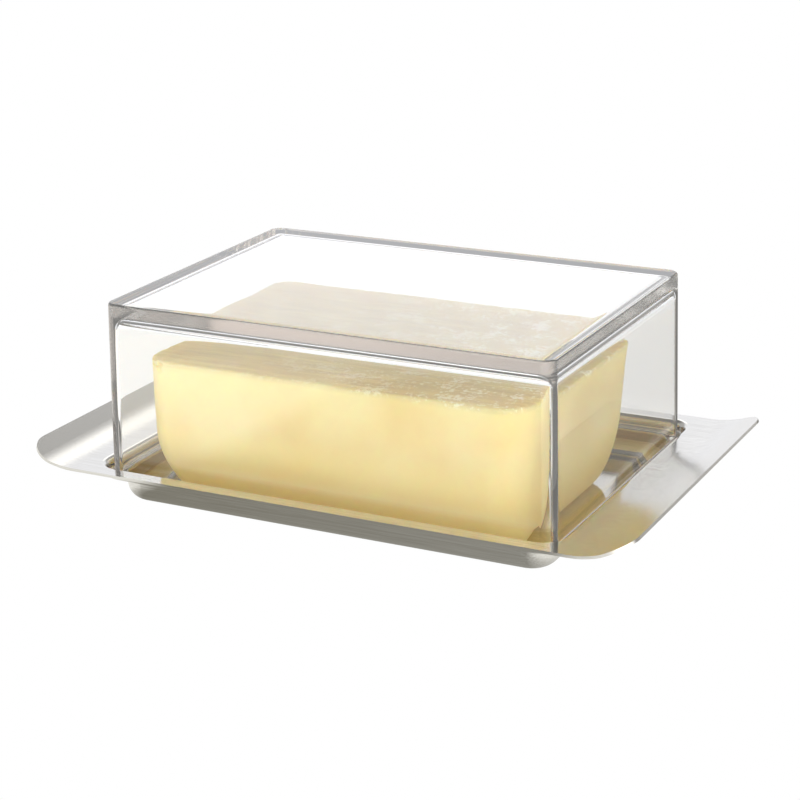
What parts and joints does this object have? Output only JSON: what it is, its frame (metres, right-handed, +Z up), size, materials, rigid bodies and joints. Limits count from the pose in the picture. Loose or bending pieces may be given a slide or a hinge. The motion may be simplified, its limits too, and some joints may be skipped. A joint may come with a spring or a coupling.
{
  "type": "butter dish",
  "caption": "Butter dish: pressed stainless steel tray with raised end wings and a recessed basin, a clear moulded cover that lifts off, and a block of butter inside.",
  "frame": {"origin": "centre of the flat underside of the tray's basin, on the table", "axes": "+X along the dish from wing to wing, +Y across it, +Z up"},
  "size_m": [0.171, 0.1056, 0.0547],
  "materials": {
    "satin_steel": "satin stainless steel with a fine grain along the tray",
    "clear_plastic": "clear, polished, transparent",
    "butter": "soft, slightly waxy butter"
  },
  "bodies": {
    "dish": {"tray": "satin_steel", "butter_block": "butter"},
    "lifting_cover": {"cover": "clear_plastic"}
  },
  "joints": [
    {"name": "cover_lift", "type": "slide", "parent": "dish", "child": "lifting_cover", "axis": [0, 0, 1], "range_m": [0, 0.08]}
  ]
}
